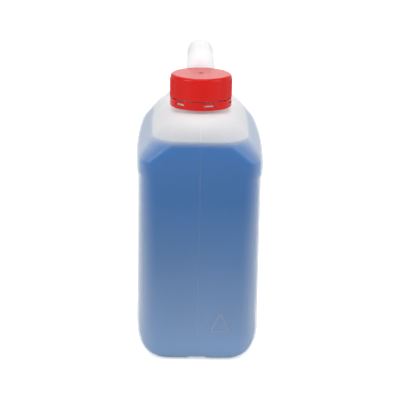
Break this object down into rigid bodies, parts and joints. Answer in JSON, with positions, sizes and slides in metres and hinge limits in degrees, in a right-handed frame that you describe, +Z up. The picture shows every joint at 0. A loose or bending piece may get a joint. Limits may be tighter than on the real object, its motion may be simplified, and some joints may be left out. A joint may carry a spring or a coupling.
{
  "type": "detergent jug",
  "caption": "Tall narrow blown plastic jug with a built-in carry handle, a ribbed screw cap with tamper ring, filled with liquid detergent.",
  "frame": {"origin": "middle of the jug's footprint, on the surface it stands on", "axes": "+Z up, -Y the narrow front face below the neck, +X to the right as seen from the front"},
  "size_m": [0.1278, 0.1945, 0.302],
  "materials": {
    "natural_hdpe": "translucent natural polyethylene, blown, satin",
    "blue_detergent": "clear blue liquid seen through the milky wall",
    "red_plastic": "injection moulded polypropylene, glossy",
    "foam": "closed cell polyethylene foam"
  },
  "bodies": {
    "jug": {"jug_body": "natural_hdpe", "detergent": "blue_detergent", "tamper_ring": "red_plastic"},
    "liner": {"cap_liner": "foam"},
    "cap": {"screw_cap": "red_plastic"}
  },
  "joints": [
    {"name": "liner_lift", "type": "slide", "parent": "jug", "child": "liner", "axis": [0, 0, 1], "range_m": [0, 0.0211]},
    {"name": "cap_turn", "type": "hinge", "parent": "liner", "child": "cap", "pos_m": [0, -0.043, 0.275], "axis": [0, 0, 1], "range_deg": [0, 1260]}
  ],
  "couplings": [
    {"joint": "liner_lift", "follows": "cap_turn", "m_per_rad": 0.00095493}
  ]
}
